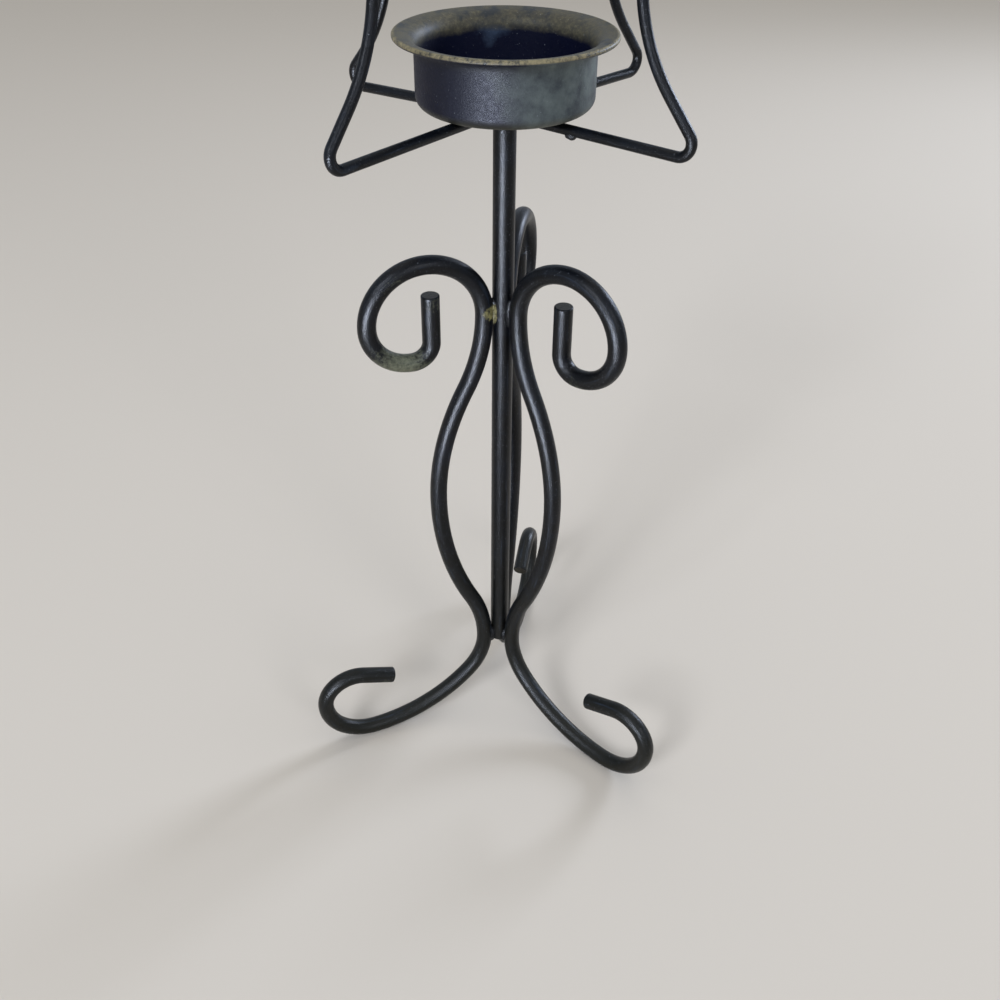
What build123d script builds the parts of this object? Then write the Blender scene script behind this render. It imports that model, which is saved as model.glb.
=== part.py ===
"""Tealight candle holder of bent and welded round wire, with a spun metal cup.

Millimetres, +Z up. The origin is on the table, on the axis of the post. Angles are
measured round the post from +X towards +Y, and the front of the holder faces -Y.
"""
import os
from math import atan2, cos, degrees, radians, sin, tan

from build123d import *

os.makedirs("parts", exist_ok=True)

# Post: straight round rod from the waist of the legs to the arms under the cup
post_d = 5.7
post_bottom_z = 28.0
cut_end_chamfer = 0.35      # also on the cut ends of the legs

# Legs: three equal scrolls of round wire, each in an upright plane through the post
leg_wire_d = 4.9
leg_azimuths = {"leg_back": 80.0, "leg_left": 203.7, "leg_right": 320.6}
leg_shoulder_z = 147.9      # where the scroll touches the post
leg_belly_z = 90.5
leg_belly_reach = 19.5      # axis of the post to axis of the wire
leg_waist_z = 29.8          # where the leg touches the lower end of the post
leg_heel_reach = 43.9       # where the wire lies on the table
shoulder_bend_share = 0.39  # share of the bend between shoulder and belly near the shoulder
waist_bend_share = 0.30     # share of the bend between belly and waist near the waist
instep_turn = 45.0          # turn of the tight bend below the waist

# Upper scroll: quarter turns from the shoulder over the top to the hook, then a cut end
scroll_radii = (16.6, 15.3, 11.9, 5.2)
scroll_hook_straight = 13.5

# Foot: a quarter turn off the table, a tighter return, then a cut end facing the post
foot_radius = 15.5
foot_return_radius = 9.5
foot_return_turn = 110.0
foot_straight = 10.3

# Cup: spun sheet with a rolled bead round its flared mouth
cup_height = 16.6
cup_body_r = 21.1
cup_rim_overhang = 4.9      # body to the outer edge of the rim
cup_wall = 0.6
cup_base_corner_r = 2.6
cup_flare_r = 3.0
cup_flare_turn = 78.0       # turn of the flare away from upright
cup_bead_d = 1.3

# Hoops: two closed wires that cross under the cup and again at the crown.
# Each half of a hoop is an arm with its own angle round the post.
hoop_wire_d = 2.5
neck_height = 33.95         # top of the scrolls to the upper hoop's wire axis
hoop_set_down = 1.4         # how deep crossing wires are pressed into each other
cage_height = 104.1         # from there to the same wire's axis at the crown
crown_flat = 3.5            # level wire on each side of the crown
hoop_corner_r = 3.2
hoop_lean = 39.4            # lean of the wire above its corner, from upright
hoop_hip_r = 39.6           # bend from that lean to upright
hoop_middle_r = 40.0        # bend under the cup and at the crown, seen from above
upper_hoop_arms = (
    {"azimuth": 232.8, "reach": 55.9, "upright_reach": 41.0},
    {"azimuth": 46.4, "reach": 48.8, "upright_reach": 33.2},
)
lower_hoop_arms = (
    {"azimuth": 323.9, "reach": 49.6, "upright_reach": 34.3},
    {"azimuth": 150.7, "reach": 44.5, "upright_reach": 32.2},
)

# Weld beads
leg_bead_r = 1.9
bead_end_taper = 0.6         # share of a bead's radius
shoulder_bead_length = 8.0
waist_bead_length = 6.0
hub_bead_r = 4.4
hub_bead_height = 2.2
cup_bead_r = 1.1
cup_bead_length = 8.0
cup_bead_reach = 11.0       # axis of the post to the middle of the bead
butt_bead_r = 1.3
butt_bead_reach = 19.0      # where the lower hoop's ends meet
butt_bead_sag = 1.0         # how far the bead hangs below the wire's axis
weld_gap = 0.03             # between a bead or a pressed joint and the wire it holds

# Fits worked out from the sizes above
leg_contact = post_d / 2 + leg_wire_d / 2
hoop_run_z = leg_shoulder_z + scroll_radii[0] + leg_wire_d / 2 + neck_height
crown_z = hoop_run_z + cage_height
lower_hoop_drop = hoop_wire_d - hoop_set_down
lower_run_z = hoop_run_z - lower_hoop_drop
cup_base_z = hoop_run_z + hoop_wire_d / 2
cup_rim_r = cup_body_r + cup_rim_overhang
cup_rim_z = cup_base_z + cup_height
post_length = lower_run_z - post_bottom_z


def upright_plane(azimuth):
    """Plane through the post's axis: local x points outwards, local y points up."""
    out = (cos(radians(azimuth)), sin(radians(azimuth)), 0)
    side = (sin(radians(azimuth)), -cos(radians(azimuth)), 0)
    return Plane(origin=(0, 0, 0), x_dir=out, z_dir=side)


def at_reach(azimuth, reach, z):
    """Point at a distance from the post's axis."""
    return upright_plane(azimuth).from_local_coords(Vector(reach, z))


def bend_radii(across, along, share):
    """Radii of two opposite bends that join two upright tangents, and their turn."""
    total = (across**2 + along**2) / (2 * across)
    turn = 2 * degrees(atan2(across, along))
    return total * share, total * (1 - share), turn


def instep_radii(across, along, turn):
    """Radii of a tight and a wide bend that lead from upright to level."""
    c = cos(radians(turn))
    s = sin(radians(turn))
    wide = (across * s - along * (1 - c)) / (c * s - (1 - c) * (1 - s))
    tight = (along - wide * (1 - s)) / s
    return tight, wide


def follow(line, radius, turn):
    """Next bend of a wire, tangent to the piece before it."""
    return JernArc(start=line @ 1, tangent=line % 1, radius=radius, arc_size=turn)


def run_on(line, length):
    """Next straight run of a wire, in line with the piece before it."""
    return Line(line @ 1, line @ 1 + (line % 1) * length)


def bent_wire(path, diameter):
    """Round wire along a path, with square cut ends."""
    with BuildPart() as wire:
        add(path)
        with BuildSketch(Plane(origin=path @ 0, z_dir=path % 0)):
            Circle(diameter / 2)
        sweep(path=path)
    return wire.part


def leg_path(azimuth):
    """Axis of a leg's wire, from the cut end of the hook to the cut end of the foot."""
    to_top, to_side, to_hook, hook = scroll_radii
    hook_x = leg_contact + to_top + to_side - to_hook - hook
    hook_y = leg_shoulder_z + to_top - to_side - to_hook + hook
    belly_across = leg_belly_reach - leg_contact
    upper = bend_radii(belly_across, leg_shoulder_z - leg_belly_z, shoulder_bend_share)
    lower = bend_radii(belly_across, leg_belly_z - leg_waist_z, 1 - waist_bend_share)
    tight, wide = instep_radii(
        leg_heel_reach - leg_contact, leg_waist_z - leg_wire_d / 2, instep_turn
    )
    with BuildLine(upright_plane(azimuth)) as path:
        piece = Line((hook_x, hook_y + scroll_hook_straight), (hook_x, hook_y))
        for radius in (hook, to_hook, to_side, to_top):
            piece = follow(piece, radius, 90)
        piece = follow(piece, upper[0], upper[2])
        piece = follow(piece, upper[1], -upper[2])
        piece = follow(piece, lower[0], -lower[2])
        piece = follow(piece, lower[1], lower[2])
        piece = follow(piece, tight, instep_turn)
        piece = follow(piece, wide, 90 - instep_turn)
        piece = follow(piece, foot_radius, 90)
        piece = follow(piece, foot_return_radius, foot_return_turn)
        run_on(piece, foot_straight)
    return path.line


def arm_corners(arm, run_z, top_z):
    """Corners of one half of a hoop, from under the cup up to the crown, and their bends."""
    lean = tan(radians(hoop_lean))
    corner_x = arm["reach"] + hoop_corner_r * (tan(radians(45 + hoop_lean / 2)) - 1)
    hip_z = run_z + (corner_x - arm["upright_reach"]) / lean
    corners = [
        at_reach(arm["azimuth"], corner_x, run_z),
        at_reach(arm["azimuth"], arm["upright_reach"], hip_z),
        at_reach(arm["azimuth"], arm["upright_reach"], top_z),
    ]
    return corners, [hoop_corner_r, hoop_hip_r, arm["upright_reach"] - crown_flat]


def hoop_path(arms, run_z, top_z):
    """Axis of a closed hoop's wire, up one arm, over the crown and down the other."""
    out_corners, out_bends = arm_corners(arms[0], run_z, top_z)
    back_corners, back_bends = arm_corners(arms[1], run_z, top_z)
    corners = [Vector(0, 0, run_z), *out_corners, Vector(0, 0, top_z), *back_corners[::-1]]
    bends = [hoop_middle_r, *out_bends, hoop_middle_r, *back_bends[::-1]]
    with BuildLine() as path:
        FilletPolyline(*corners, radius=bends, close=True)
    return path.line


def tapered_bead(radius, length):
    """Weld bead: a short bar with tapered ends, upright and centred on the origin."""
    with BuildPart(mode=Mode.PRIVATE) as bead:
        Cylinder(radius, length)
        chamfer(bead.edges().filter_by(GeomType.CIRCLE), radius * bead_end_taper)
    return bead.part


# Hoops: the lower one is notched where the upper one is pressed into it
upper_path = hoop_path(upper_hoop_arms, hoop_run_z, crown_z)
lower_path = hoop_path(lower_hoop_arms, lower_run_z, crown_z - lower_hoop_drop)
upper_room = bent_wire(upper_path, hoop_wire_d + 2 * weld_gap)
lower_room = bent_wire(lower_path, hoop_wire_d + 2 * weld_gap)
hoop_upper = bent_wire(upper_path, hoop_wire_d)
with BuildPart() as hoop_lower:
    add(bent_wire(lower_path, hoop_wire_d))
    add(upper_room, mode=Mode.SUBTRACT)

# Post: its top end is notched by the hoops that it carries
with BuildPart() as post:
    with BuildSketch(Plane.XY.offset(post_bottom_z)):
        Circle(post_d / 2)
    extrude(amount=post_length)
    chamfer(post.faces().sort_by(Axis.Z)[0].edges(), cut_end_chamfer)
    add(upper_room, mode=Mode.SUBTRACT)
    add(lower_room, mode=Mode.SUBTRACT)

# Legs: one wire shape, set round the post, with the burr taken off both cut ends
legs = {}
leg_rooms = []
for name, azimuth in leg_azimuths.items():
    with BuildPart() as leg:
        add(bent_wire(leg_path(azimuth), leg_wire_d))
        chamfer(leg.faces().filter_by(GeomType.PLANE).edges(), cut_end_chamfer)
    legs[name] = leg.part
    leg_rooms.append(bent_wire(leg_path(azimuth), leg_wire_d + 2 * weld_gap))

# Cup: turned sheet with a flared mouth, its rim rolled under into a bead
lip_slope = 90 - cup_flare_turn
bead_center = Vector(cup_rim_r - cup_bead_d / 2, cup_rim_z - cup_bead_d / 2)
lip_end = bead_center + Vector(0, cup_bead_d / 2 - cup_wall).rotate(Axis.Z, lip_slope)
lip_start_x = cup_body_r + cup_flare_r * (1 - cos(radians(cup_flare_turn)))
lip_start_z = lip_end.Y - (lip_end.X - lip_start_x) * tan(radians(lip_slope))
flare_z = lip_start_z - cup_flare_r * sin(radians(cup_flare_turn))
with BuildPart() as cup:
    with BuildSketch(Plane.XZ):
        with BuildLine():
            base = Line((0, cup_base_z), (cup_body_r - cup_base_corner_r, cup_base_z))
            corner = follow(base, cup_base_corner_r, 90)
            side = Line(corner @ 1, (cup_body_r, flare_z))
            flare = follow(side, cup_flare_r, -cup_flare_turn)
            Line(flare @ 1, lip_end)
            offset(amount=cup_wall, side=Side.LEFT)
        make_face()
        with Locations(bead_center):
            Circle(cup_bead_d / 2)
    revolve(axis=Axis.Z)


def leg_beads(z, length):
    """Beads that weld the legs to the post at one height."""
    with BuildPart() as beads:
        for azimuth in leg_azimuths.values():
            with Locations(at_reach(azimuth, post_d / 2, z)):
                add(tapered_bead(leg_bead_r, length))
        with Locations((0, 0, z)):
            Cylinder(post_d / 2 + weld_gap, 2 * length, mode=Mode.SUBTRACT)
        for room in leg_rooms:
            add(room, mode=Mode.SUBTRACT)
    return beads.part


# Welds between the legs and the post
shoulder_welds = leg_beads(leg_shoulder_z, shoulder_bead_length)
waist_welds = leg_beads(leg_waist_z, waist_bead_length)

# Weld under the crossing of the hoops, round the top end of the post
with BuildPart() as hub_weld:
    with Locations((0, 0, lower_run_z)):
        Cone(
            post_d / 2,
            hub_bead_r,
            hub_bead_height,
            align=(Align.CENTER, Align.CENTER, Align.MAX),
        )
        Cylinder(post_d / 2 + weld_gap, 4 * hub_bead_height, mode=Mode.SUBTRACT)
    add(upper_room, mode=Mode.SUBTRACT)
    add(lower_room, mode=Mode.SUBTRACT)

# Beads along both sides of the upper hoop that hold the cup's base
with BuildPart() as cup_welds:
    for arm in upper_hoop_arms:
        arm_plane = upright_plane(arm["azimuth"])
        for side in (-1, 1):
            middle = Vector(cup_bead_reach, cup_base_z, side * hoop_wire_d / 2)
            spot = Plane(arm_plane.from_local_coords(middle), z_dir=arm_plane.x_dir)
            with Locations(spot):
                add(tapered_bead(cup_bead_r, cup_bead_length))
    split(bisect_by=Plane.XY.offset(cup_base_z - weld_gap), keep=Keep.BOTTOM)
    add(upper_room, mode=Mode.SUBTRACT)

# Bead where the two ends of the lower hoop's wire meet
with BuildPart() as butt_weld:
    joint_azimuth = lower_hoop_arms[0]["azimuth"]
    with Locations(at_reach(joint_azimuth, butt_bead_reach, lower_run_z - butt_bead_sag)):
        Sphere(butt_bead_r)
    add(lower_room, mode=Mode.SUBTRACT)

pieces = {
    "post": post.part,
    **legs,
    "shoulder_welds": shoulder_welds,
    "waist_welds": waist_welds,
    "hoop_upper": hoop_upper,
    "hoop_lower": hoop_lower.part,
    "hub_weld": hub_weld.part,
    "butt_weld": butt_weld.part,
    "cup": cup.part,
    "cup_welds": cup_welds.part,
}
for name, piece in pieces.items():
    piece.label = name
    export_step(piece, f"parts/{name}.step")
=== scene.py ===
"""Looks of the tealight candle holder: bent steel wire and a spun cup, enamelled black.

Metres, +Z up. The origin is on the table, on the axis of the post, and the front faces -Y.
Lengths are written in millimetres, and mm() turns them to metres. Angles are in degrees.
"""
from math import atan2, cos, degrees, pi, radians, sin, tan

import bmesh
import bpy
from mathutils import Matrix, Vector


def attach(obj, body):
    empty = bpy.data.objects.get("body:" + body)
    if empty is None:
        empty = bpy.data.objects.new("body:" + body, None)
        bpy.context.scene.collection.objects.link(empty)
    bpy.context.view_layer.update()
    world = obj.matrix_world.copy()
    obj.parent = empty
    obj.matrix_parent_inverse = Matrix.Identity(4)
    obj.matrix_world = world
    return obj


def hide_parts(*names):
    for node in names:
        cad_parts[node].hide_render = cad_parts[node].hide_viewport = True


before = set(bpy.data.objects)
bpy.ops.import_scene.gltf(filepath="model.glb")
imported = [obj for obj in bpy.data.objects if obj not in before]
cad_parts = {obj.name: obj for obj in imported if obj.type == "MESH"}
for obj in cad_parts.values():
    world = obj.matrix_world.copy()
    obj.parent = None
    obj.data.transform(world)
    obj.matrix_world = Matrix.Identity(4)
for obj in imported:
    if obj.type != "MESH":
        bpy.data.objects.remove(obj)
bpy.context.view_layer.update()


def mm(length):
    return length / 1000


# Sizes, as in the part's source
post_d = 5.7
post_bottom_z = 28.0
leg_wire_d = 4.9
leg_azimuths = {"leg_back": 80.0, "leg_left": 203.7, "leg_right": 320.6}
leg_shoulder_z = 147.9
leg_belly_z = 90.5
leg_belly_reach = 19.5
leg_waist_z = 29.8
leg_heel_reach = 43.9
shoulder_bend_share = 0.39
waist_bend_share = 0.30
instep_turn = 45.0
scroll_radii = (16.6, 15.3, 11.9, 5.2)
scroll_hook_straight = 13.5
foot_radius = 15.5
foot_return_radius = 9.5
foot_return_turn = 110.0
foot_straight = 10.3
cut_end_rounding = 0.35

cup_height = 16.6
cup_body_r = 21.1
cup_rim_overhang = 4.9
cup_wall = 0.6
cup_base_corner_r = 2.6
cup_flare_r = 3.0
cup_flare_turn = 78.0
cup_bead_d = 1.3

hoop_wire_d = 2.5
neck_height = 33.95
hoop_set_down = 1.4
cage_height = 104.1
crown_flat = 3.5
hoop_corner_r = 3.2
hoop_lean = 39.4
hoop_hip_r = 39.6
hoop_middle_r = 40.0
# Arms of a hoop: azimuth, reach of the lower corner, reach of the upright
upper_hoop_arms = ((232.8, 55.9, 41.0), (46.4, 48.8, 33.2))
lower_hoop_arms = ((323.9, 49.6, 34.3), (150.7, 44.5, 32.2))

leg_contact = post_d / 2 + leg_wire_d / 2
hoop_run_z = leg_shoulder_z + scroll_radii[0] + leg_wire_d / 2 + neck_height
crown_z = hoop_run_z + cage_height
lower_hoop_drop = hoop_wire_d - hoop_set_down
lower_run_z = hoop_run_z - lower_hoop_drop
cup_base_z = hoop_run_z + hoop_wire_d / 2
cup_rim_r = cup_body_r + cup_rim_overhang
cup_rim_z = cup_base_z + cup_height

# Fineness of the meshes
leg_sides = 44
post_sides = 56
hoop_sides = 32
cup_sides = 160
bead_subdivisions = 5


# Camera: stands in front of the holder and looks down on it
camera_place = (5.714, -244.683, 275.747)
camera_pitch = radians(34.649)
camera_yaw = radians(-1.436)
camera_roll = radians(-0.574)
camera_focal = 1.033894      # focal length as a share of the frame's width
camera_centre_row = 438.341  # row of the optical axis
frame_rows = 1000
sensor_width = 36

ahead = Vector(
    (
        sin(camera_yaw) * cos(camera_pitch),
        cos(camera_yaw) * cos(camera_pitch),
        -sin(camera_pitch),
    )
)
level_right = Vector((cos(camera_yaw), -sin(camera_yaw), 0))
level_down = ahead.cross(level_right)
right = cos(camera_roll) * level_right + sin(camera_roll) * level_down
down = -sin(camera_roll) * level_right + cos(camera_roll) * level_down
camera_data = bpy.data.cameras.new("camera")
camera_data.sensor_width = sensor_width
camera_data.lens = sensor_width * camera_focal
camera_data.shift_y = (camera_centre_row - frame_rows / 2) / frame_rows
camera_data.clip_start = 0.01
camera = bpy.data.objects.new("camera", camera_data)
turn = Matrix((right, -down, -ahead)).transposed()
camera.matrix_world = Matrix.Translation([mm(v) for v in camera_place]) @ turn.to_4x4()
bpy.context.scene.collection.objects.link(camera)
bpy.context.scene.camera = camera
bpy.context.scene.view_settings.view_transform = "Standard"


def linear(hex_color):
    """Linear colour of an sRGB hex value."""
    parts = [int(hex_color[i : i + 2], 16) / 255 for i in (1, 3, 5)]
    return [
        *[c / 12.92 if c <= 0.04045 else ((c + 0.055) / 1.055) ** 2.4 for c in parts],
        1,
    ]


# Names of the nodes and of their settings that are used most
MATH = "ShaderNodeMath"
RANGE = "ShaderNodeMapRange"
NOISE = "ShaderNodeTexNoise"
VECTOR = "ShaderNodeVectorMath"
ATTRIBUTE = "ShaderNodeAttribute"
STORE = "GeometryNodeStoreNamedAttribute"
SMOOTH = "GeometryNodeSetShadeSmooth"
ADD = {"operation": "ADD"}
SUBTRACT = {"operation": "SUBTRACT"}
MULTIPLY = {"operation": "MULTIPLY"}
MAXIMUM = {"operation": "MAXIMUM"}


def add_node(tree, kind, settings=None, links=None, **values):
    """Add a node: its settings, the sockets linked to its inputs, and its inputs' values.

    A value's key is the input's name with _ for a space, or in_ and the input's number.
    """
    node = tree.nodes.new(kind)
    for key, value in (settings or {}).items():
        setattr(node, key, value)
    for key, value in values.items():
        socket = int(key[3:]) if key.startswith("in_") else key.replace("_", " ")
        node.inputs[socket].default_value = value
    for key, source in (links or {}).items():
        tree.links.new(source, node.inputs[key])
    return node


def geometry_tree(name, sockets, result):
    """Geometry tree with its inputs' sockets: each input has a name and a kind."""
    tree = bpy.data.node_groups.new(name, "GeometryNodeTree")
    for label, kind in sockets:
        tree.interface.new_socket(label, in_out="INPUT", socket_type="NodeSocket" + kind)
    tree.interface.new_socket(result, in_out="OUTPUT", socket_type="NodeSocketGeometry")
    return tree, tree.nodes.new("NodeGroupInput").outputs


def wire_tree():
    """Geometry Nodes: round wire along a line of points, with trimmed cut ends."""
    tree, inputs = geometry_tree(
        "round wire",
        [
            ("Line", "Geometry"),
            ("Wire diameter", "Float"),
            ("Sides", "Int"),
            ("Paint", "Material"),
        ],
        "Wire",
    )
    half = add_node(tree, MATH, MULTIPLY, {0: inputs["Wire diameter"]}, in_1=0.5)
    curve = add_node(tree, "GeometryNodeMeshToCurve", links={"Mesh": inputs["Line"]})
    spot = tree.nodes.new("GeometryNodeSplineParameter")
    whole = tree.nodes.new("GeometryNodeSplineLength")
    middle = add_node(tree, MATH, MULTIPLY, {0: whole.outputs["Length"]}, in_1=0.5)
    folded = add_node(  # there and back again, so that a closed wire has no seam
        tree,
        MATH,
        {"operation": "PINGPONG"},
        {0: spot.outputs["Length"], 1: middle.outputs[0]},
    )
    curve = add_node(
        tree,
        STORE,
        {"data_type": "FLOAT", "domain": "POINT"},
        {"Geometry": curve.outputs[0], "Value": folded.outputs[0]},
        Name="along",
    )
    circle = add_node(
        tree,
        "GeometryNodeCurvePrimitiveCircle",
        links={"Resolution": inputs["Sides"], "Radius": half.outputs[0]},
    )
    place = tree.nodes.new("GeometryNodeInputPosition")
    circle = add_node(
        tree,
        STORE,
        {"data_type": "FLOAT_VECTOR", "domain": "POINT"},
        {"Geometry": circle.outputs[0], "Value": place.outputs[0]},
        Name="around",
    )
    trim = add_node(
        tree, "GeometryNodeInputNamedAttribute", {"data_type": "FLOAT"}, Name="trim"
    )
    skin = add_node(
        tree,
        "GeometryNodeCurveToMesh",
        links={
            "Curve": curve.outputs[0],
            "Profile Curve": circle.outputs[0],
            "Scale": trim.outputs[0],
        },
        Fill_Caps=True,
    )
    corners = tree.nodes.new("GeometryNodeInputMeshFaceNeighbors")
    is_cap = add_node(  # all other faces have four corners
        tree,
        "FunctionNodeCompare",
        {"data_type": "INT", "operation": "GREATER_THAN"},
        {2: corners.outputs["Vertex Count"]},
        in_3=4,
    )
    marked = add_node(
        tree,
        STORE,
        {"data_type": "FLOAT", "domain": "FACE"},
        {"Geometry": skin.outputs[0], "Value": is_cap.outputs[0]},
        Name="cut_end",
    )
    smooth = add_node(tree, SMOOTH, links={"Geometry": marked.outputs[0]})
    flat = add_node(
        tree,
        SMOOTH,
        links={"Geometry": smooth.outputs[0], "Selection": is_cap.outputs[0]},
        Shade_Smooth=False,
    )
    real = add_node(tree, "GeometryNodeRealizeInstances", links={"Geometry": flat.outputs[0]})
    painted = add_node(
        tree,
        "GeometryNodeSetMaterial",
        links={"Geometry": real.outputs[0], "Material": inputs["Paint"]},
    )
    add_node(tree, "NodeGroupOutput", links={0: painted.outputs[0]})
    return tree


def bead_tree():
    """Geometry Nodes: lumpy weld beads on points."""
    tree, inputs = geometry_tree(
        "weld beads",
        [
            ("Spots", "Geometry"),
            ("Half size", "Vector"),
            ("Lump height", "Float"),
            ("Lump width", "Float"),
            ("Seed", "Float"),
            ("Paint", "Material"),
        ],
        "Beads",
    )
    ball = add_node(
        tree, "GeometryNodeMeshIcoSphere", Radius=1.0, Subdivisions=bead_subdivisions
    )
    heading = add_node(
        tree, "GeometryNodeInputNamedAttribute", {"data_type": "FLOAT_VECTOR"}, Name="turn"
    )
    balls = add_node(
        tree,
        "GeometryNodeInstanceOnPoints",
        links={
            "Points": inputs["Spots"],
            "Instance": ball.outputs[0],
            "Rotation": heading.outputs[0],
            "Scale": inputs["Half size"],
        },
    )
    real = add_node(tree, "GeometryNodeRealizeInstances", links={"Geometry": balls.outputs[0]})
    fineness = add_node(
        tree, MATH, {"operation": "DIVIDE"}, {1: inputs["Lump width"]}, in_0=1.0
    )
    lumps = add_node(
        tree,
        NOISE,
        {"noise_dimensions": "4D"},
        {"W": inputs["Seed"], "Scale": fineness.outputs[0]},
        Detail=2.0,
    )
    swell = add_node(  # taken over the middle of the pattern, so that beads mostly shrink
        tree, MATH, SUBTRACT, {0: lumps.outputs[0]}, in_1=0.55
    )
    height = add_node(tree, MATH, MULTIPLY, {0: swell.outputs[0], 1: inputs["Lump height"]})
    outward = tree.nodes.new("GeometryNodeInputNormal")
    move = add_node(
        tree,
        VECTOR,
        {"operation": "SCALE"},
        {0: outward.outputs[0], "Scale": height.outputs[0]},
    )
    lumpy = add_node(
        tree,
        "GeometryNodeSetPosition",
        links={"Geometry": real.outputs[0], "Offset": move.outputs[0]},
    )
    smooth = add_node(tree, SMOOTH, links={"Geometry": lumpy.outputs[0]})
    painted = add_node(
        tree,
        "GeometryNodeSetMaterial",
        links={"Geometry": smooth.outputs[0], "Material": inputs["Paint"]},
    )
    add_node(tree, "NodeGroupOutput", links={0: painted.outputs[0]})
    return tree


def made_real(source, name):
    """Plain mesh object of an object's modifiers, in place of the object."""
    bpy.context.view_layer.update()
    seen = source.evaluated_get(bpy.context.evaluated_depsgraph_get())
    mesh = bpy.data.meshes.new_from_object(seen)
    mesh.name = name
    bpy.data.objects.remove(source)
    piece = bpy.data.objects.new(name, mesh)
    bpy.context.scene.collection.objects.link(piece)
    return piece


def set_inputs(modifier, values):
    """Set a node modifier's inputs by their names in the tree."""
    for item in modifier.node_group.interface.items_tree:
        if item.in_out == "INPUT" and item.name in values:
            modifier[item.identifier] = values[item.name]


def wire(name, points, trims, closed, diameter, paint, sides):
    """Round wire along points in millimetres."""
    mesh = bpy.data.meshes.new(name)
    count = len(points)
    edges = [(i, (i + 1) % count) for i in range(count if closed else count - 1)]
    mesh.from_pydata([[mm(v) for v in p] for p in points], edges, [])
    attribute = mesh.attributes.new("trim", "FLOAT", "POINT")
    attribute.data.foreach_set("value", trims)
    line = bpy.data.objects.new(name + "_line", mesh)
    bpy.context.scene.collection.objects.link(line)
    modifier = line.modifiers.new("wire", "NODES")
    modifier.node_group = round_wire
    set_inputs(modifier, {"Wire diameter": mm(diameter), "Sides": sides, "Paint": paint})
    return made_real(line, name)


def weld_beads(name, spots, half_size, seed, lump_height=0.9, lump_width=1.6):
    """Weld beads on spots: each a place in millimetres and an angle round the post."""
    mesh = bpy.data.meshes.new(name)
    mesh.from_pydata([[mm(v) for v in place] for place, _ in spots], [], [])
    attribute = mesh.attributes.new("turn", "FLOAT_VECTOR", "POINT")
    turns = [v for _, azimuth in spots for v in (0, 0, radians(azimuth))]
    attribute.data.foreach_set("vector", turns)
    points = bpy.data.objects.new(name + "_spots", mesh)
    bpy.context.scene.collection.objects.link(points)
    modifier = points.modifiers.new("beads", "NODES")
    modifier.node_group = lumpy_beads
    set_inputs(
        modifier,
        {
            "Half size": [mm(v) for v in half_size],
            "Lump height": mm(lump_height),
            "Lump width": mm(lump_width),
            "Seed": seed,
            "Paint": bead_paint,
        },
    )
    return made_real(points, name)


def seat(piece, slot, *nodes):
    """Fix a finished piece to the holder in place of the nodes it stands for."""
    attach(piece, "root")
    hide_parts(*nodes)


# Lines of the wires
def walk(start, heading, moves, step=1.2, turn_step=4.0):
    """Points of a bent line in a plane. A move is a length, or a radius and a turn."""
    x, y = start
    points = [(x, y)]
    for move in moves:
        if isinstance(move, tuple):
            radius, turn_angle = move
            arc = abs(radians(turn_angle)) * radius
            count = max(2, round(max(arc / step, abs(turn_angle) / turn_step)))
            side = 1 if turn_angle > 0 else -1
            a = radians(heading)
            cx, cy = x - side * radius * sin(a), y + side * radius * cos(a)
            for i in range(1, count + 1):
                b = a + radians(turn_angle) * i / count
                points.append((cx + side * radius * sin(b), cy - side * radius * cos(b)))
            heading += turn_angle
        else:
            a = radians(heading)
            count = max(1, round(move / step))
            for i in range(1, count + 1):
                points.append((x + cos(a) * move * i / count, y + sin(a) * move * i / count))
        x, y = points[-1]
    return points


def trimmed(points, diameter):
    """Points with extra ones at the cut ends, and the share of the wire's radius at each."""
    angles = [radians(a) for a in (0, 30, 60, 90)]
    marks = [cut_end_rounding * (1 - cos(a)) for a in angles]
    shares = [1 - cut_end_rounding * (1 - sin(a)) / (diameter / 2) for a in angles]
    lead_in = Vector(points[1]) - Vector(points[0])
    lead_out = Vector(points[-2]) - Vector(points[-1])
    head = [Vector(points[0]) + lead_in.normalized() * m for m in marks]
    tail = [Vector(points[-1]) + lead_out.normalized() * m for m in marks[::-1]]
    line = head + [Vector(p) for p in points[1:-1]] + tail
    return line, shares + [1.0] * (len(points) - 2) + shares[::-1]


def upright(azimuth, reach, z):
    """Point at a reach from the post's axis."""
    return Vector((reach * cos(radians(azimuth)), reach * sin(radians(azimuth)), z))


def bend_radii(across, along, share):
    """Radii of two opposite bends that shift a line sideways, and the turn of each."""
    total = (across**2 + along**2) / (2 * across)
    return total * share, total * (1 - share), 2 * degrees(atan2(across, along))


def leg_line():
    """Line of a leg in its own plane, from the scroll's hook: reach from the post, height."""
    to_top, to_side, to_hook, hook = scroll_radii
    hook_x = leg_contact + to_top + to_side - to_hook - hook
    hook_z = leg_shoulder_z + to_top - to_side - to_hook + hook
    across = leg_belly_reach - leg_contact
    upper = bend_radii(across, leg_shoulder_z - leg_belly_z, shoulder_bend_share)
    lower = bend_radii(across, leg_belly_z - leg_waist_z, 1 - waist_bend_share)
    # Two bends of the instep take the wire from upright at the waist to level at the heel
    out, fall = leg_heel_reach - leg_contact, leg_waist_z - leg_wire_d / 2
    c, s = cos(radians(instep_turn)), sin(radians(instep_turn))
    wide = (out * s - fall * (1 - c)) / (c * s - (1 - c) * (1 - s))
    tight = (fall - wide * (1 - s)) / s
    return walk(
        (hook_x, hook_z + scroll_hook_straight),
        -90,
        [
            scroll_hook_straight,
            (hook, 90),
            (to_hook, 90),
            (to_side, 90),
            (to_top, 90),
            (upper[0], upper[2]),
            (upper[1], -upper[2]),
            (lower[0], -lower[2]),
            (lower[1], lower[2]),
            (tight, instep_turn),
            (wide, 90 - instep_turn),
            (foot_radius, 90),
            (foot_return_radius, foot_return_turn),
            foot_straight,
        ],
    )


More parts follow.
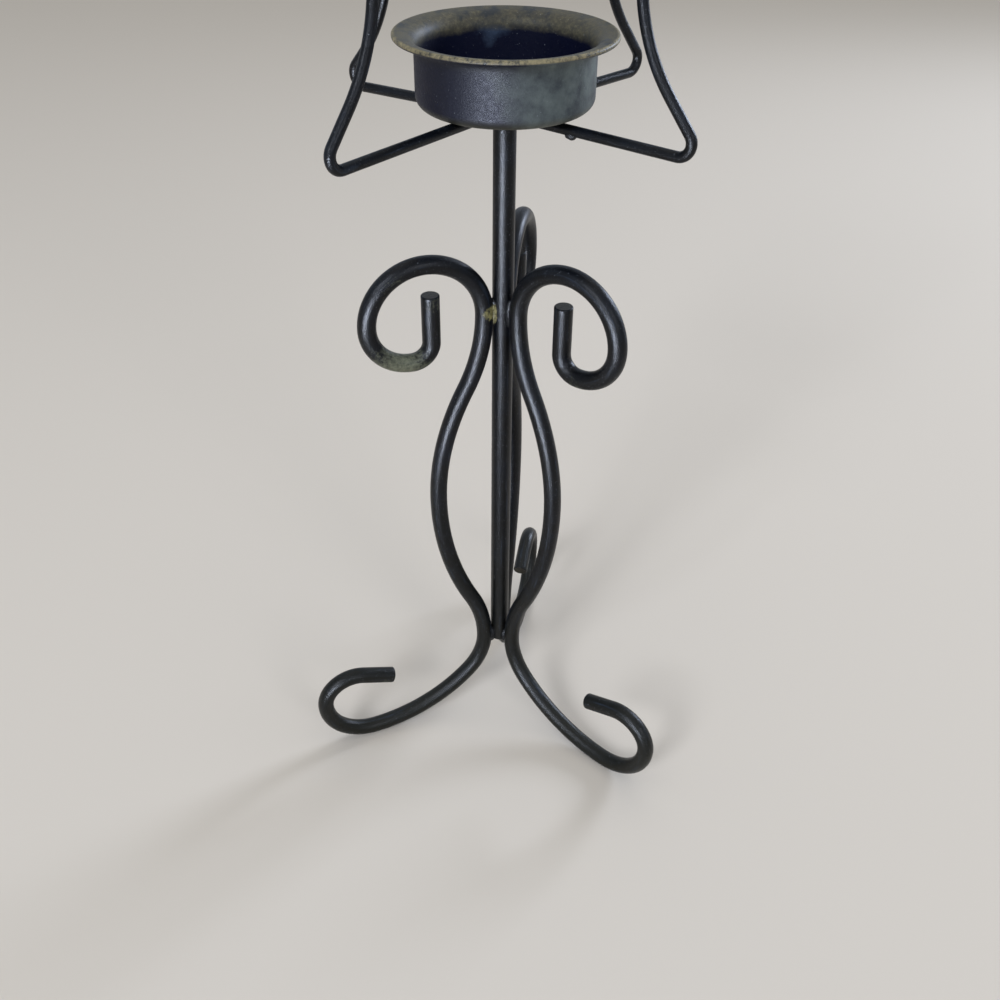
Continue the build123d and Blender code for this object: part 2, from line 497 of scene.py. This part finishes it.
def rounded_corners(corners, radii, step=1.0, turn_step=5.0):
    """Closed line through corners, each with a round bend."""
    line = []
    for i, corner in enumerate(corners):
        before = (corners[i - 1] - corner).normalized()
        after = (corners[(i + 1) % len(corners)] - corner).normalized()
        bend = pi - before.angle(after)
        reach = radii[i] * tan(bend / 2)
        centre = corner + (before + after).normalized() * radii[i] / cos(bend / 2)
        first = corner + before * reach
        if line:
            runs = round((first - line[-1]).length / step)
            line += [line[-1].lerp(first, k / runs) for k in range(1, runs)]
        parts = max(4, round(max(radii[i] * bend / step, degrees(bend) / turn_step)))
        for k in range(parts + 1):
            angle = bend * k / parts
            line.append(centre + (first - centre) * cos(angle) - before * radii[i] * sin(angle))
    runs = round((line[0] - line[-1]).length / step)
    return line + [line[-1].lerp(line[0], k / runs) for k in range(1, runs)]


def hoop_line(arms, run_z, top_z):
    """Line of a closed hoop: level under the cup, and up each arm to the crown."""
    sides = []
    for azimuth, reach, upright_reach in arms:
        corner_x = reach + hoop_corner_r * (tan(radians(45 + hoop_lean / 2)) - 1)
        hip_z = run_z + (corner_x - upright_reach) / tan(radians(hoop_lean))
        sides.append(
            (
                [
                    upright(azimuth, corner_x, run_z),
                    upright(azimuth, upright_reach, hip_z),
                    upright(azimuth, upright_reach, top_z),
                ],
                [hoop_corner_r, hoop_hip_r, upright_reach - crown_flat],
            )
        )
    bottom, top = Vector((0, 0, run_z)), Vector((0, 0, top_z))
    corners = [bottom, *sides[0][0], top, *sides[1][0][::-1]]
    radii = [hoop_middle_r, *sides[0][1], hoop_middle_r, *sides[1][1][::-1]]
    return rounded_corners(corners, radii)


# Materials
enamel_ior = 1.3  # under most paints', which keeps the black deep
braze_ior = 1.35


def new_material(name, ior, roughness):
    """Material with its tree, its shader and the place on the object."""
    material = bpy.data.materials.new(name)
    material.use_nodes = True
    tree = material.node_tree
    shader = tree.nodes["Principled BSDF"]
    shader.inputs["IOR"].default_value = ior
    shader.inputs["Roughness"].default_value = roughness
    return material, tree, shader, tree.nodes.new("ShaderNodeTexCoord").outputs["Object"]


def mask_at(tree, place, spots):
    """Strength of the strongest spot: each a place, a reach, a fading edge and a strength."""
    strongest = None
    for spot, reach, edge, strength in spots:
        away = add_node(
            tree, VECTOR, {"operation": "DISTANCE"}, {0: place}, in_1=[mm(v) for v in spot]
        )
        near = add_node(
            tree,
            RANGE,
            {"interpolation_type": "SMOOTHSTEP"},
            {"Value": away.outputs["Value"]},
            From_Min=mm(reach),
            From_Max=mm(reach + edge),
            To_Min=strength,
            To_Max=0.0,
        ).outputs[0]
        if strongest is None:
            strongest = near
        else:
            strongest = add_node(tree, MATH, MAXIMUM, {0: strongest, 1: near}).outputs[0]
    return strongest


def lay_coats(tree, shader, ground, coats):
    """Lay coats over a ground colour, each where its mask says."""
    under = {"in_6": linear(ground)}
    links = {}
    for mask, paint in coats:
        coat = add_node(
            tree,
            "ShaderNodeMix",
            {"data_type": "RGBA"},
            {0: mask, **links},
            in_7=linear(paint),
            **under,
        )
        under, links = {}, {6: coat.outputs[2]}
    tree.links.new(coat.outputs[2], shader.inputs["Base Color"])


def lay_bumps(tree, shader, bumps):
    """Raise the surface by several patterns, each with its depth."""
    links = {}
    for pattern, depth in bumps:
        bump = add_node(
            tree, "ShaderNodeBump", links={"Height": pattern, **links}, Distance=mm(depth)
        )
        links = {"Normal": bump.outputs[0]}
    tree.links.new(bump.outputs[0], shader.inputs["Normal"])


def wire_enamel():
    """Black enamel sprayed on drawn steel wire, worn by years of handling.

    The spray gives a satin shine, which the wire's draw marks and a blue-grey chalking
    break up into streaks along the wire. Dust sits in the paint's pores, and where the
    wire is held or handled the paint is worn down to olive-grey metal. Low down the wire
    takes a painted olive reflection of the warm table, and one spot on top of the left
    scroll is a painted highlight.
    """
    material, tree, shader, place = new_material(
        "black satin enamel on drawn steel wire", enamel_ior, 0.34
    )
    along, around, cut_end = (
        add_node(tree, ATTRIBUTE, {"attribute_name": name}).outputs
        for name in ("along", "around", "cut_end")
    )
    # A place on the wire's section that shifts slowly along the wire draws out the streaks
    shortened = add_node(tree, MATH, MULTIPLY, {0: along["Fac"]}, in_1=0.07)
    lengthways = add_node(tree, "ShaderNodeCombineXYZ", links={"Z": shortened.outputs[0]})
    drawn = add_node(tree, VECTOR, ADD, {0: around["Vector"], 1: lengthways.outputs[0]})
    height = add_node(tree, "ShaderNodeSeparateXYZ", links={"Vector": place}).outputs["Z"]
    clouds, streaks, flakes, grain = (
        add_node(
            tree,
            NOISE,
            links={"Vector": vector},
            Scale=1 / mm(size),
            Detail=detail,
            Roughness=roughness,
        ).outputs[0]
        for vector, size, detail, roughness in (
            (place, 8, 4.0, 0.6),
            (drawn.outputs[0], 0.9, 3.0, 0.65),
            (place, 1.1, 5.0, 0.75),
            (place, 0.42, 2.0, 0.7),
        )
    )

    left, right = leg_azimuths["leg_left"], leg_azimuths["leg_right"]
    # Worn paint where the holder is handled, and one painted highlight on top of the left scroll
    rub_and_highlight_spots = mask_at(
        tree,
        place,
        [
            (upright(left, 30, leg_shoulder_z - 13) + Vector((0, -1, 0)), 2, 14, 0.64),
            # painted highlight on top of the left scroll
            (upright(left, 30, leg_shoulder_z + 11) + Vector((0, -2, 0)), 1, 12, 0.22),
            (upright(left, 20.1, leg_shoulder_z + 6) + Vector((1.5, -2, 0)), 0, 4.5, 0.32),
            (upright(left, 40, 23) + Vector((0, -1, -1.5)), 0, 6, 0.5),
            (upright(right, 26, leg_shoulder_z - 15), 1, 9, 0.4),
        ],
    )
    patchy = add_node(
        tree, MATH, {"operation": "MULTIPLY_ADD"}, {0: streaks, 2: flakes}, in_1=0.5
    )
    rubbed_and_highlight = add_node(tree, MATH, ADD, {0: rub_and_highlight_spots, 1: patchy.outputs[0]}).outputs[0]
    bare_joint = upright(left, 3.9, leg_shoulder_z + 1) + Vector((0, -1.6, 0))
    braze = mask_at(tree, place, [(bare_joint, 1.2, 2.6, 0.52)])
    brazed = add_node(tree, MATH, ADD, {0: braze, 1: flakes}).outputs[0]

    chalk, table_reflection, scratch, thin_paint_and_highlight, brass, dust, gloss = (
        add_node(
            tree,
            RANGE,
            links={"Value": pattern},
            From_Min=low,
            From_Max=high,
            To_Min=at_low,
            To_Max=at_high,
        ).outputs[0]
        for pattern, low, high, at_low, at_high in (
            (clouds, 0.45, 0.75, 0.0, 0.22),
            # painted reflection of the warm table: olive, fading out 80 mm above it
            (height, 0.0, mm(80), 0.6, 0.0),
            (streaks, 0.6, 0.72, 0.0, 0.4),
            (rubbed_and_highlight, 1.0, 1.45, 0.0, 0.85),
            (brazed, 0.86, 1.12, 0.0, 1.0),
            (grain, 0.66, 0.76, 0.0, 0.5),
            (streaks, 0.3, 0.7, 0.27, 0.42),
        )
    )
    scaled_ends = add_node(tree, MATH, MULTIPLY, {0: cut_end["Fac"], 1: flakes}).outputs[0]
    lay_coats(
        tree,
        shader,
        "#020306",
        [
            (chalk, "#1B2636"),
            # painted olive reflection of the warm table, low on the wire
            (table_reflection, "#1F1F16"),
            (scratch, "#333E4E"),
            # worn paint down to metal, and the painted highlight on the left scroll's top
            (thin_paint_and_highlight, "#7C7F6A"),
            (brass, "#8C8657"),
            (scaled_ends, "#3D382F"),
            (dust, "#8A9098"),
        ],
    )
    tree.links.new(gloss, shader.inputs["Roughness"])
    lay_bumps(tree, shader, [(streaks, 0.06), (grain, 0.09)])
    return material


def cup_enamel():
    """Black enamel on spun steel.

    It is blue-black inside, with a painted reflection high on the back of the inner
    wall, clouded outside with chalky olive-grey wear and a painted highlight on the
    front right, and worn through to brassy undercoat all round the mouth.
    """
    material, tree, shader, place = new_material(
        "black enamel on spun steel", enamel_ior, 0.36
    )
    z = add_node(tree, "ShaderNodeSeparateXYZ", links={"Vector": place}).outputs["Z"]
    level = add_node(tree, VECTOR, MULTIPLY, {0: place}, in_1=(1, 1, 0)).outputs[0]
    reach = add_node(tree, VECTOR, {"operation": "LENGTH"}, {0: level}).outputs["Value"]
    facing = add_node(tree, "ShaderNodeNewGeometry").outputs["Normal"]
    upward = add_node(tree, "ShaderNodeSeparateXYZ", links={"Vector": facing}).outputs["Z"]
    clouds, flakes, grain = (
        add_node(
            tree,
            NOISE,
            links={"Vector": place},
            Scale=1 / mm(size),
            Detail=detail,
            Roughness=roughness,
        ).outputs[0]
        for size, detail, roughness in ((6, 6.0, 0.62), (1.0, 5.0, 0.75), (0.5, 2.0, 0.7))
    )

    # The inside faces up or towards the axis, and so does the top of the flare
    outward = add_node(tree, VECTOR, {"operation": "NORMALIZE"}, {0: level}).outputs[0]
    turned_out = add_node(tree, VECTOR, {"operation": "DOT_PRODUCT"}, {0: facing, 1: outward})
    turned_in = add_node(tree, MATH, SUBTRACT, {0: upward, 1: turned_out.outputs["Value"]})
    # Chalky wear with a painted highlight on the front right outside, and a painted reflection
    # high on the back of the inner wall
    chalk_and_highlight_spots = mask_at(
        tree,
        place,
        [((16, -14, cup_base_z + 8), 8, 22, 1.0), ((-4, 21, cup_base_z + 13), 1, 9, 0.8)],
    )
    chalk_and_highlight = add_node(tree, MATH, MULTIPLY, {0: clouds, 1: chalk_and_highlight_spots}).outputs[0]
    wobble = add_node(
        tree,
        RANGE,
        links={"Value": clouds},
        From_Min=0.25,
        From_Max=0.75,
        To_Min=mm(-0.8),
        To_Max=mm(0.8),
    )
    lifted = add_node(tree, MATH, ADD, {0: z, 1: wobble.outputs[0]}).outputs[0]

    inside, chalk, mouth, top, edge, bright, pitted, chipped, low, dust, gloss = (
        add_node(
            tree,
            RANGE,
            links={"Value": pattern},
            From_Min=start,
            From_Max=end,
            To_Min=at_start,
            To_Max=at_end,
        ).outputs[0]
        for pattern, start, end, at_start, at_end in (
            (turned_in.outputs[0], -0.3, 0.1, 0.0, 1.0),
            (chalk_and_highlight, 0.22, 0.64, 0.0, 0.85),
            (lifted, mm(cup_rim_z - 5.0), mm(cup_rim_z - 3.2), 0.0, 1.0),
            (upward, -0.5, 0.0, 0.0, 1.0),
            (reach, mm(cup_rim_r - 0.9), mm(cup_rim_r - 0.4), 0.0, 1.0),
            (flakes, 0.44, 0.7, 0.0, 0.7),
            (clouds, 0.52, 0.36, 0.0, 0.8),
            (flakes, 0.36, 0.56, 0.0, 0.85),
            (z, mm(cup_base_z + 0.3), mm(cup_base_z + 2.4), 0.6, 0.0),
            (grain, 0.69, 0.76, 0.0, 0.6),
            (flakes, 0.3, 0.7, 0.42, 0.6),
        )
    )
    outside = add_node(tree, MATH, SUBTRACT, {1: inside}, in_0=1.0).outputs[0]
    chalk_and_reflection_in, chalk_and_highlight_out, low_out, mouth_in, lip = (
        add_node(tree, MATH, MULTIPLY, {0: mask, 1: share}).outputs[0]
        for mask, share in (
            (chalk, inside),
            (chalk, outside),
            (low, outside),
            (mouth, inside),
            (edge, top),
        )
    )
    worn = add_node(tree, MATH, MAXIMUM, {0: mouth_in, 1: lip}).outputs[0]
    worn_bright, worn_dark, worn_edge = (
        add_node(tree, MATH, MULTIPLY, {0: mask, 1: share}).outputs[0]
        for mask, share in ((worn, bright), (worn, pitted), (lip, chipped))
    )
    lay_coats(
        tree,
        shader,
        "#050920",
        [
            # inside: chalky wear and a painted reflection
            (chalk_and_reflection_in, "#5A6C84"),
            # outside: chalky wear and a painted highlight
            (chalk_and_highlight_out, "#67716F"),
            (low_out, "#4B4A38"),
            (worn, "#48453A"),
            (worn_bright, "#6F6850"),
            (worn_dark, "#252C33"),
            (worn_edge, "#938868"),
            (dust, "#8E9399"),
        ],
    )
    tree.links.new(gloss, shader.inputs["Roughness"])
    lay_bumps(tree, shader, [(flakes, 0.03), (grain, 0.04)])
    return material


def brazed_bead():
    """Bead of brazing metal under enamel, bare and dull yellow at the left shoulder.

    A braze is left as it cools, rippled and pitted, so its shine is rough and broken.
    """
    material, tree, shader, place = new_material("brazing bead under enamel", braze_ior, 0.45)
    flakes = add_node(
        tree,
        NOISE,
        links={"Vector": place},
        Scale=1 / mm(1.0),
        Detail=5.0,
        Roughness=0.75,
    ).outputs[0]
    left_bead = upright(leg_azimuths["leg_left"], 3.6, leg_shoulder_z) + Vector((0, -1.2, 0))
    bare = mask_at(tree, place, [(left_bead, 2.4, 1.8, 0.62)])
    chipped = add_node(tree, MATH, ADD, {0: bare, 1: flakes}).outputs[0]
    metal, bright = (
        add_node(tree, RANGE, links={"Value": chipped}, From_Min=low, From_Max=high).outputs[0]
        for low, high in ((0.85, 1.05), (1.05, 1.25))
    )
    lay_coats(tree, shader, "#06080B", [(metal, "#6B6643"), (bright, "#ACA678")])
    lay_bumps(tree, shader, [(flakes, 0.12)])
    return material


wire_paint = wire_enamel()
cup_paint = cup_enamel()
bead_paint = brazed_bead()

# Wires
round_wire = wire_tree()
for name, azimuth in leg_azimuths.items():
    line, trims = trimmed([upright(azimuth, x, z) for x, z in leg_line()], leg_wire_d)
    leg = wire(name + "_wire", line, trims, False, leg_wire_d, wire_paint, leg_sides)
    seat(leg, "painted_wire", name)

post_top_z = lower_run_z - 0.2  # inside the notch that the hoops press into the post
post_line = [Vector((0, 0, z)) for z in (post_bottom_z, 60, 100, 140, 180, post_top_z)]
line, trims = trimmed(post_line, post_d)
post = wire("post_rod", line, trims, False, post_d, wire_paint, post_sides)
seat(post, "painted_wire", "post")

for name, arms, run_z, top_z in (
    ("hoop_upper", upper_hoop_arms, hoop_run_z, crown_z),
    ("hoop_lower", lower_hoop_arms, lower_run_z, crown_z - lower_hoop_drop),
):
    line = hoop_line(arms, run_z, top_z)
    whole = [1.0] * len(line)
    hoop = wire(name + "_wire", line, whole, True, hoop_wire_d, wire_paint, hoop_sides)
    seat(hoop, "painted_wire", name)


# Cup: the sheet's outline turned round the post's axis
def cup_outline():
    """Closed outline of the sheet: reach and height."""
    slope = 90 - cup_flare_turn
    bead = (cup_rim_r - cup_bead_d / 2, cup_rim_z - cup_bead_d / 2)
    rise = cup_bead_d / 2 - cup_wall
    lip_end = (bead[0] - rise * sin(radians(slope)), bead[1] + rise * cos(radians(slope)))
    lip_start_x = cup_body_r + cup_flare_r * (1 - cos(radians(cup_flare_turn)))
    lip_start_z = lip_end[1] - (lip_end[0] - lip_start_x) * tan(radians(slope))
    flare_z = lip_start_z - cup_flare_r * sin(radians(cup_flare_turn))
    wall_height = flare_z - cup_base_z - cup_base_corner_r
    floor_rings = [i * 1.5 for i in range(1, 12)]
    skins = []
    for z, corner_r, flare_r in (
        (cup_base_z, cup_base_corner_r, cup_flare_r),
        (cup_base_z + cup_wall, cup_base_corner_r - cup_wall, cup_flare_r + cup_wall),
    ):
        wall = walk(
            (cup_body_r - cup_base_corner_r, z),
            0,
            [(corner_r, 90), wall_height, (flare_r, -cup_flare_turn)],
            step=0.8,
            turn_step=9,
        )
        skins.append([(x, z) for x in floor_rings] + wall)
    outer, inner = skins
    lip_steps = 12
    lip = []
    for k in range(lip_steps + 1):  # nearly round the bead, from its foot to its top
        angle = radians(slope - 175 + k * 265 / lip_steps)
        lip.append((bead[0] + cup_bead_d / 2 * cos(angle), bead[1] + cup_bead_d / 2 * sin(angle)))
    return outer + lip + inner[::-1]


def spun_skin(name, outline, low_pole, high_pole, paint):
    """Closed skin turned round the post's axis."""
    skin = bmesh.new()
    rings = []
    for reach, z in outline:
        ring = []
        for k in range(cup_sides):
            angle = 2 * pi * k / cup_sides
            ring.append(skin.verts.new([mm(reach * cos(angle)), mm(reach * sin(angle)), mm(z)]))
        rings.append(ring)
    for lower, upper in zip(rings, rings[1:]):
        for k in range(cup_sides):
            j = (k + 1) % cup_sides
            skin.faces.new((lower[k], lower[j], upper[j], upper[k]))
    for ring, z in ((rings[0], low_pole), (rings[-1], high_pole)):
        pole = skin.verts.new((0, 0, mm(z)))
        for k in range(cup_sides):
            skin.faces.new((ring[k], ring[(k + 1) % cup_sides], pole))
    bmesh.ops.recalc_face_normals(skin, faces=skin.faces)
    for face in skin.faces:
        face.smooth = True
    mesh = bpy.data.meshes.new(name)
    skin.to_mesh(mesh)
    skin.free()
    mesh.materials.append(paint)
    piece = bpy.data.objects.new(name, mesh)
    bpy.context.scene.collection.objects.link(piece)
    return piece


cup = spun_skin("cup_sheet", cup_outline(), cup_base_z, cup_base_z + cup_wall, cup_paint)
seat(cup, "painted_sheet", "cup")

# Welds: half sizes out from the post, round it and up
lumpy_beads = bead_tree()
for name, node, z, half_size, seed in (
    ("shoulder_beads", "shoulder_welds", leg_shoulder_z, (1.7, 1.8, 4.3), 3.0),
    ("waist_beads", "waist_welds", leg_waist_z, (1.8, 1.9, 3.1), 8.0),
):
    spots = [(upright(azimuth, post_d / 2, z), azimuth) for azimuth in leg_azimuths.values()]
    seat(weld_beads(name, spots, half_size, seed), "weld_metal", node)

hub_spot = (0, 0, lower_run_z - 0.7)
hub = weld_beads("hub_bead", [(hub_spot, 0)], (4.2, 4.2, 1.6), 5.0)
seat(hub, "weld_metal", "hub_weld")

butt_azimuth = lower_hoop_arms[0][0]
butt_spot = upright(butt_azimuth, 19, lower_run_z - 0.9)
butt = weld_beads("butt_bead", [(butt_spot, butt_azimuth)], (1.5, 1.3, 1.3), 6.0, 0.6)
seat(butt, "weld_metal", "butt_weld")

spots = []
for azimuth, _, _ in upper_hoop_arms:
    for side in (-1, 1):
        across = upright(azimuth + 90, side * hoop_wire_d / 2, 0)
        spots.append((upright(azimuth, 11, cup_base_z - 0.7) + across, azimuth))
cup_beads = weld_beads("cup_beads", spots, (4.0, 1.0, 0.9), 9.0, 0.5)
seat(cup_beads, "weld_metal", "cup_welds")


# Floor and light
def floor_paint():
    """Matt pale board. It has no gloss, so that no lamp shows in it."""
    material = bpy.data.materials.new("matt pale board")
    material.use_nodes = True
    shader = material.node_tree.nodes["Principled BSDF"]
    shader.inputs["Base Color"].default_value = linear("#D3CABC")
    shader.inputs["Roughness"].default_value = 0.8
    shader.inputs["Specular IOR Level"].default_value = 0.0
    return material


bpy.ops.mesh.primitive_plane_add(size=8)
floor = bpy.context.object
floor.name = "floor"
floor.data.materials.append(floor_paint())

# The sky is brighter where it is seen than where it lights
world = bpy.data.worlds.new("studio")
bpy.context.scene.world = world
world.use_nodes = True
sky_tree = world.node_tree
sky = sky_tree.nodes["Background"]
sky.inputs["Color"].default_value = linear("#D9E4F4")
ray = sky_tree.nodes.new("ShaderNodeLightPath").outputs
seen = ray["Is Camera Ray"]
for kind in ("Is Glossy Ray", "Is Transmission Ray"):
    seen = add_node(sky_tree, MATH, MAXIMUM, {0: seen, 1: ray[kind]}).outputs[0]
strength = add_node(sky_tree, RANGE, links={"Value": seen}, To_Min=0.4, To_Max=0.7)
sky_tree.links.new(strength.outputs[0], sky.inputs["Strength"])


def soft_light(name, place, aim, size, power, color, spread=180):
    """Square soft lamp that the camera doesn't see, in metres and watts."""
    data = bpy.data.lights.new(name, "AREA")
    data.size = size
    data.energy = power
    data.color = linear(color)[:3]
    data.spread = radians(spread)
    lamp = bpy.data.objects.new(name, data)
    lamp.location = place
    lamp.visible_camera = False
    lamp.rotation_euler = (Vector(aim) - Vector(place)).to_track_quat("-Z", "Y").to_euler()
    bpy.context.scene.collection.objects.link(lamp)
    return lamp


middle = (0, 0, 0.12)
soft_light("window", (-0.9, -1.6, 1.3), middle, 0.6, 24, "#EAF1FF")
soft_light("fill", (1.0, -1.5, 1.0), middle, 0.6, 8, "#F2F5FF")
soft_light("overhead", (0, 0.5, 5), middle, 6.0, 80, "#FFF8EE")
soft_light("back", (1.2, 1.0, 0.6), middle, 0.5, 4, "#DCE8FF", 80)
glow = soft_light("table_glow", (-0.14, -0.42, 0.02), middle, 0.16, 0.8, "#E2ECFF", 50)
glow.visible_diffuse = False  # it only shines in gloss, as a bright table does
